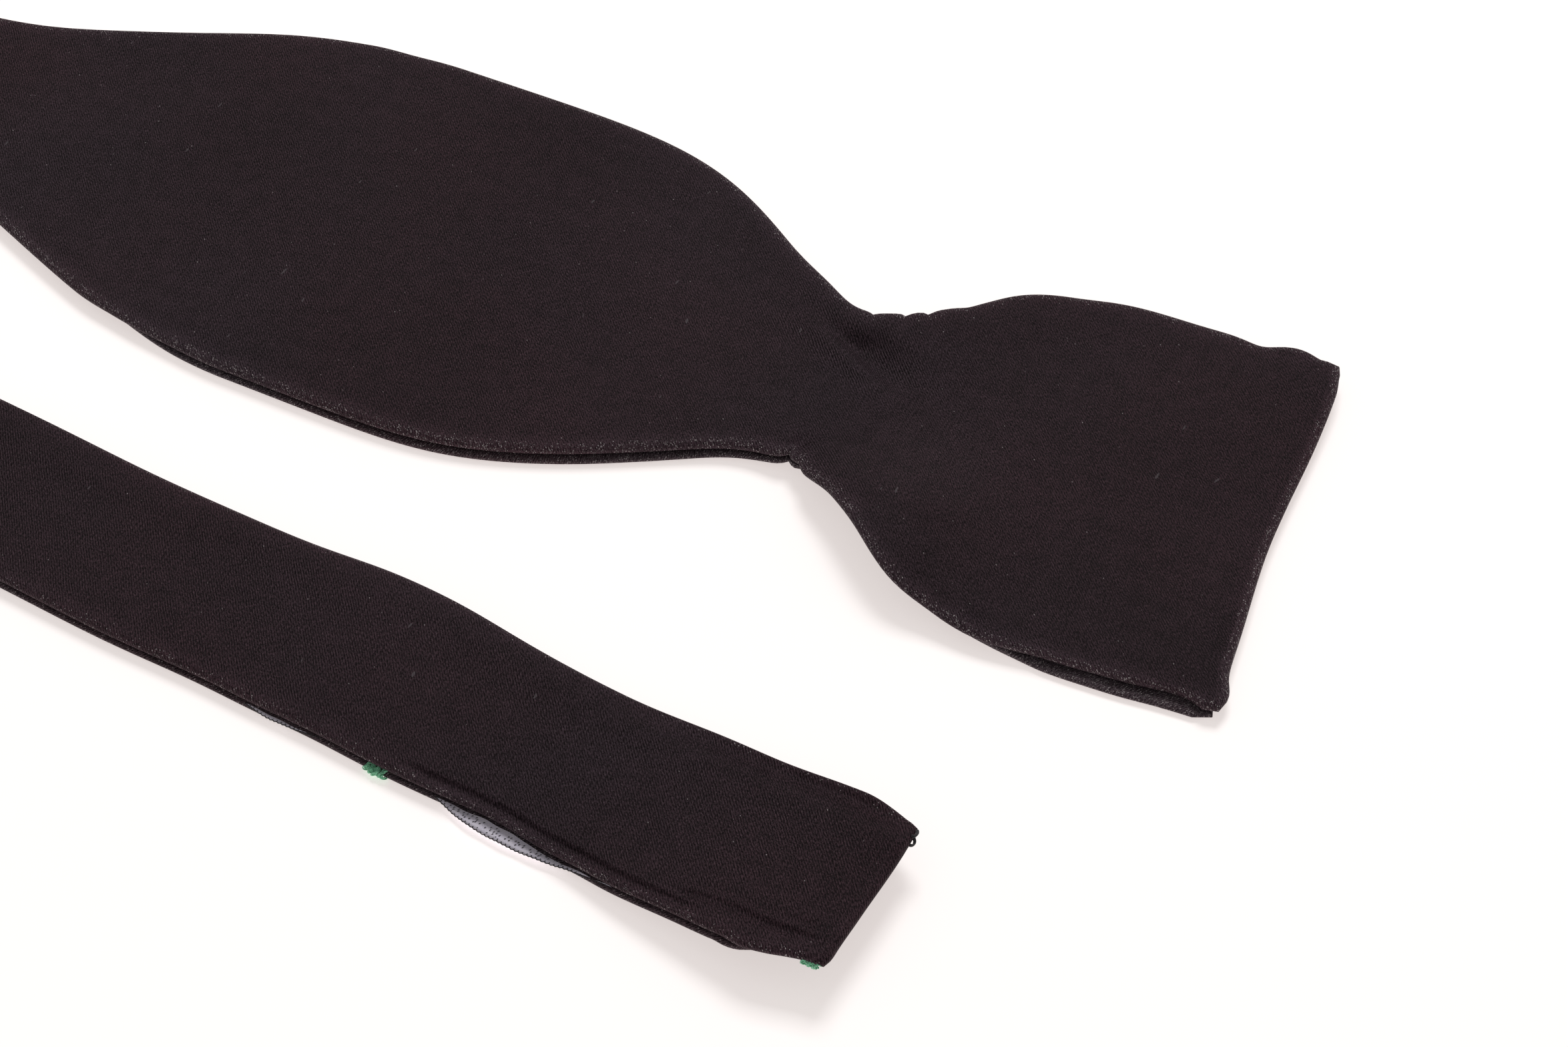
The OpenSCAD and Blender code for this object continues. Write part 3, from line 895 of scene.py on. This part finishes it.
def front_out(u, v, nu, nv, o, h):
    """The front panel's two end corners stand out a little, and its near roll is drawn in."""
    near = ease(-nv * 2 - 0.5) * (1 - 0.75 * ease(nu * 3)) * (h > 1.3)
    drawn_in = (0.45 + 0.35 * ease((u - 384) / 8)) * near * (1 - o / INSET) * ease((u - 360) / 14)
    near_corner = 0.8 * bump(u, 396.5, 1.8) * bump(v, -28, 2.4)
    far_corner = 0.3 * bump(u, 389.5, 2.5) * bump(v, 32.5, 2.2)
    return near_corner + far_corner - drawn_in


def blade_back_short(v):
    """How far the blade's back panel stays back from the end."""
    return 0.9 + 0.2 * ease((-v - 18) / 6)


blade_front = blade_piece(
    leg_panel(blade, "blade_front_panel", BLADE_ROWS, True, SATIN, extra=front_out),
    "black_satin", "blade_front_satin", "tip_front_satin")
blade_back = blade_piece(
    leg_panel(blade, "blade_back_panel", BLADE_ROWS, False, SATIN_BACK, extra=back_out,
              short=blade_back_short),
    "black_satin", "blade_back_satin", "tip_back_satin")

# where the tail's seam stands open: from, to, widest, and how far its widest place leans
# towards its start (over 1) or its end
LIPS = ((TAIL_L - 85.0, TAIL_L - 70.0, 0.7, 1.2), (TAIL_L - 55.0, TAIL_L - 24.0, 2.2, 1.8))


def lip_out(u):
    """How far the open seam's lip reaches out past the tail's near edge."""
    out = np.zeros_like(u)
    for a, b, widest, lean in LIPS:
        x = np.clip((b - u) / (b - a), 0, 1)
        out = out + widest * np.sin(math.pi * x ** lean) ** 1.2
    return out


def tail_back_out(u, v, nu, nv, o, h):
    """The tail's back panel stands a little proud, and stays back near the end."""
    hidden = ease((u - 362) / 7)
    proud = 0.2 * (1 - hidden) * ease((u - 60) / 80) * on_bead(h)
    return near_side(nv) * (proud - 0.9 * (INSET - o) * hidden)


tail_front = tail_piece(
    leg_panel(tail, "tail_front_panel", TAIL_ROWS, True, SATIN),
    "black_satin", "tail_front_satin", "end_front_satin")
tail_back = tail_piece(
    leg_panel(tail, "tail_back_panel", TAIL_ROWS, False, SATIN_BACK, extra=tail_back_out,
              short=lambda v: 1.2 + 0 * v),
    "black_satin", "tail_back_satin", "end_back_satin")


def fold_start(leg):
    """Where a leg's inner layers start: slanted along the fold line, and just clear of it."""
    return lambda v: v / math.tan(fold_slope(leg)) + 0.6


for leg, key, wrap, tip_key, rows in (
        (blade, "blade", blade_piece, "tip", BLADE_ROWS),
        (tail, "tail", tail_piece, "end", TAIL_ROWS)):
    rows = np.concatenate([np.linspace(0.0, ROOT_U, 12, endpoint=False), rows])
    start = fold_start(leg)
    wrap(leg_slab(leg, f"{key}_canvas_layer", rows, CANVAS_LAYER, CANVAS, start),
         "canvas", f"{key}_canvas", f"{tip_key}_canvas")
    wrap(leg_slab(leg, f"{key}_backing_layer", rows, BACKING_LAYER, FUSED, start),
         "pale_backing", f"{key}_fused_backing", f"{tip_key}_fused_backing")

# the folds: outer (front) skin and inner (back) skin of each
for leg, key in ((blade, "blade"), (tail, "tail")):
    for outer in (True, False):
        word = "front" if outer else "back"
        ob = fold_panel(leg, f"{key}_fold_{word}_panel", outer, SATIN if outer else SATIN_BACK)
        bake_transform(ob)
        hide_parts(f"turn_{word}_satin")
for name, material, slot, layer in (("turn_canvas_layer", CANVAS, "canvas", CANVAS_LAYER),
                                    ("turn_backing_layer", FUSED, "pale_backing", BACKING_LAYER)):
    ob = cross_slab(name, layer, material)
    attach(ob, "cross_strip")
    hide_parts("turn_canvas" if slot == "canvas" else "turn_fused_backing")


def lip_sheet(name, a, b):
    """The loose seam: the back panel's seam allowance turned out, pale reverse up."""
    us = np.linspace(a, b, int((b - a) / 0.45) + 2)
    low, _ = tail.edges(us)
    cols = np.linspace(0, 1, 9)[None, :]
    inner = low + 1.9
    outer = low - lip_out(us) + 0.35
    v = inner[:, None] + (outer - inner)[:, None] * cols
    u = us[:, None] + 0 * v
    curl = 0.35 * ease((cols - 0.55) / 0.45) * (0.6 + 0.4 * np.sin(us / 2.7))[:, None]
    z = 1.16 - 0.28 * ease(cols / 0.7) + 0.3 * curl + 0.06 * ripple(u, v, 5, 5)
    top = tail.base(u, v) + z
    pts = np.concatenate([
        to_row(-1, u, v, height).reshape(-1, 3) for height in (top, top - 0.22)])
    uv = np.concatenate([np.stack([u, v], -1).reshape(-1, 2)] * 2)
    ob = mesh_from(name, pts, closed_faces(*u.shape, flip=False), uv * MM, FUSED)
    return ob, us, outer, low


LOCK_PITCH = 0.62  # of the overlock's loops along the edge
LOCK_CLEAR = 0.6  # free length at each end of a lip


def overlock(name, us, outer, low):
    """Looped thread round the lip's raw edge, and scattered stitches across the lip."""
    run = us[-1] - us[0] - 2 * LOCK_CLEAR
    turns = max(3, int(run / LOCK_PITCH))
    t = np.linspace(0, 1, turns * 12)
    u = us[0] + LOCK_CLEAR + run * t
    v = np.interp(u, us, outer)
    ph = t * turns * math.tau
    lip_z = 0.84 + 0.06 * np.sin(u * 1.3)
    loops = on_leg(tail, u + 0.1 * np.sin(2 * ph), v + 0.03 + 0.12 * np.cos(ph),
                   lip_z + 0.14 * np.sin(ph))
    core = on_leg(tail, u, v - 0.1 + 0.04 * np.sin(ph), lip_z + 0.04 * np.cos(ph))
    tubes = [tube(loops, 0.045), tube(core, 0.07)]
    for k in range(turns):
        place = us[0] + LOCK_CLEAR + run * (k + 0.5) / turns + random.uniform(-0.1, 0.1)
        v_out, v_in = (float(np.interp(place, us, side)) for side in (outer, low))
        for share in (0.2, 0.45, 0.72):
            from_edge = (v_in - v_out) * share
            if from_edge > 0.35 and random.random() < 0.8:
                jog = random.uniform(-0.14, 0.14)
                slip = random.uniform(-0.25, 0.25)
                mid_u, mid_v = place + slip, v_out + from_edge + jog
                stitch = on_leg(tail, [mid_u - 0.1, mid_u, mid_u + 0.08],
                                [mid_v - 0.1, mid_v, mid_v + 0.12],
                                np.array([0.88, 0.97, 0.9]) + 0.1 * share)
                tubes.append(tube(stitch, [0.03, 0.055, 0.03]))
    return thread_mesh(name, tubes, LOCK)


for key, (a, b, _, _), node in (("tail", LIPS[0], "tail_overlock_edge"),
                                ("end", LIPS[1], "end_overlock_edge")):
    sheet_ob, us, outer, low = lip_sheet(f"{key}_open_lip", a, b)
    tail_piece(sheet_ob, "pale_backing", f"{key}_fused_backing")
    tail_piece(overlock(f"{key}_overlock_thread", us, outer, low), "overlock_thread", node)

TACK_FLOOR = 0.36  # lowest height of a tack's strands over the underside


def tack(name, u_mid, count, pitch, into, out, rise):
    """Loose zigzag strands sewn over the near edge.

    into is how far inside the edge they start, out is about how far they swing out past it,
    and rise lifts the whole of each strand.
    """
    tubes = []
    s = np.linspace(0, 1, 22)
    for k in range(count):
        u = u_mid + (k - (count - 1) / 2) * pitch
        lean = random.uniform(0.5, 1.1) * (1 if k % 2 else -1)
        reach = out * random.uniform(0.75, 1.15)
        low = float(tail.edges(np.array([u]))[0][0])
        sway = 0.12 * np.sin(s * 9 + k)
        v = low + into * (1 - s) * (1 - s) - reach * np.sin(s * math.pi) + 0.25
        z = np.maximum(rise + 1.2 - 1.15 * s + 0.25 * np.sin(s * math.pi), TACK_FLOOR)
        for ply in range(5):
            ph = s * (9 + ply) + ply * 1.3 + k
            wide = random.uniform(0.1, 0.32)
            strand = on_leg(
                tail, u + lean * (s - 0.5) + sway + wide * np.cos(ph),
                v + 0.5 * wide * np.sin(ph + 1) + random.uniform(-0.15, 0.12),
                z + 0.10 * (k % 2) + 0.7 * wide * np.sin(ph))
            tubes.append(tube(strand, random.uniform(0.06, 0.11)))
    return thread_mesh(name, tubes, GREEN)


tail_piece(tack("long_tack_thread", TAIL_L - 62.8, 8, 0.36, 0.9, 1.0, 0.0),
           "green_thread", "long_green_tack")
tail_piece(tack("corner_tack_thread", TAIL_L + 0.2, 5, 0.4, 0.7, 0.5, 0.7),
           "green_thread", "corner_green_tack")

# the small curl of overlock thread at the square end's upper corner
t = np.linspace(0, 1, 60)
curl = on_leg(
    tail, TAIL_L + 1.75 + (0.3 + 0.25 * t) * np.sin(t * 12.0),
    10.3 - 1.7 * t + (0.35 + 0.15 * t) * np.cos(t * 12.0 + 0.4),
    2.1 + 0.3 * np.sin(t * 8) - 0.5 * t)
beside = curl + np.array([0.1, 0.1, 0.14])
curl_ob = thread_mesh("thread_curl", [tube(curl, 0.15, sides=6), tube(beside, 0.13, sides=6)], LOCK)
tail_piece(curl_ob, "overlock_thread", "overlock_thread_loop")

# ------------------------------------------------------- floor, light, camera
FLOOR_Z = -0.00004  # metres; just under the part, so that no two faces lie in one plane
floor_mesh = bpy.data.meshes.new("floor")
corners = [(x, y, FLOOR_Z) for x, y in ((-3, -3), (4, -3), (4, 4), (-3, 4))]
floor_mesh.from_pydata(corners, [], [(0, 1, 2, 3)])
floor = bpy.data.objects.new("floor", floor_mesh)
bpy.context.scene.collection.objects.link(floor)
mat, _, _, s = nodes_of("paper_floor")
s.inputs["Base Color"].default_value = (0.93, 0.925, 0.92, 1)
s.inputs["Roughness"].default_value = 0.9
s.inputs["Specular IOR Level"].default_value = 0.1
s.inputs["Emission Color"].default_value = (1.0, 0.915, 0.885, 1)
s.inputs["Emission Strength"].default_value = 0.6
floor_mesh.materials.append(mat)

world = bpy.data.worlds.new("studio")
bpy.context.scene.world = world
world.use_nodes = True
backdrop = world.node_tree.nodes["Background"]
backdrop.inputs[0].default_value = (1.0, 0.985, 0.98, 1)
backdrop.inputs[1].default_value = 0.23


def area(name, place, look, size, power):
    """A rectangular lamp at a place in metres, turned to look at a point."""
    d = bpy.data.lights.new(name, "AREA")
    d.shape = "RECTANGLE"
    d.size, d.size_y = size
    d.energy = power
    o = bpy.data.objects.new(name, d)
    o.location = place
    o.rotation_euler = (Vector(look) - Vector(place)).to_track_quat("-Z", "Y").to_euler()
    bpy.context.scene.collection.objects.link(o)


MIDDLE = (0.30, 0.0, 0.0)
area("softbox_back", (-0.05, 1.15, 1.6), MIDDLE, (0.8, 0.7), 15.0)

# the photograph's view; the camera stands BACK_OFF behind TARGET and HEIGHT over the table
TURN, TILT = math.radians(28.05), math.radians(41.0)
TARGET = (335.22, 12.54)
BACK_OFF, HEIGHT = 292.5, 336.5
camera_data = bpy.data.cameras.new("camera")
camera_data.sensor_width = 36.0
camera_data.lens = 76.6
camera = bpy.data.objects.new("camera", camera_data)
camera.location = ((TARGET[0] + BACK_OFF * math.sin(TURN)) * MM,
                   (TARGET[1] - BACK_OFF * math.cos(TURN)) * MM, HEIGHT * MM)
camera.rotation_euler = (TILT, 0, TURN)
bpy.context.scene.collection.objects.link(camera)
bpy.context.scene.camera = camera
bpy.context.scene.view_settings.view_transform = "Standard"
